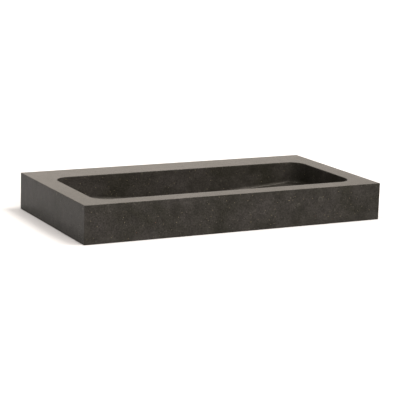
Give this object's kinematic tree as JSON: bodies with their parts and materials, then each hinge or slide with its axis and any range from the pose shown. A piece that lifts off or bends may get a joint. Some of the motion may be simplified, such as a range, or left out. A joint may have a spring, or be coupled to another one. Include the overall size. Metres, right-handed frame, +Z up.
{
  "type": "stone wash basin",
  "caption": "Shallow rectangular wash basin cut from one block of dark honed stone, with a wide tap ledge at the back and a push-to-close waste.",
  "frame": {"origin": "on the plane of the underside, straight below the centre of the drain", "axes": "+X to the right of a person at the basin, +Y towards the wall, +Z up"},
  "size_m": [1, 0.51, 0.156],
  "materials": {
    "stone": "honed dark grey basalt with fine pale flecks",
    "chromed_brass": "polished chrome plate",
    "plain_brass": "turned brass",
    "seal_rubber": "black moulded rubber",
    "washer_plastic": "off-white moulded plastic",
    "acetal": "white moulded plastic",
    "spring_steel": "bright drawn wire"
  },
  "bodies": {
    "basin": {"stone_basin": "stone", "waste_body": "chromed_brass", "flange_gasket": "seal_rubber", "pocket_gasket": "seal_rubber", "slip_washer": "washer_plastic", "backnut": "plain_brass", "click_housing": "plain_brass", "housing_cap": "plain_brass", "cam_sleeve": "acetal", "return_spring": "spring_steel"},
    "plug": {"plunger": "plain_brass", "cam_rotor": "acetal", "plug_cap": "chromed_brass", "plug_seal": "seal_rubber"}
  },
  "joints": [
    {"name": "plug_slide", "type": "slide", "parent": "basin", "child": "plug", "axis": [0, 0, 1], "range_m": [-0.008, 0], "stiffness_N_per_m": 450, "springref_m": 0.01, "deforming": ["return_spring"]}
  ]
}
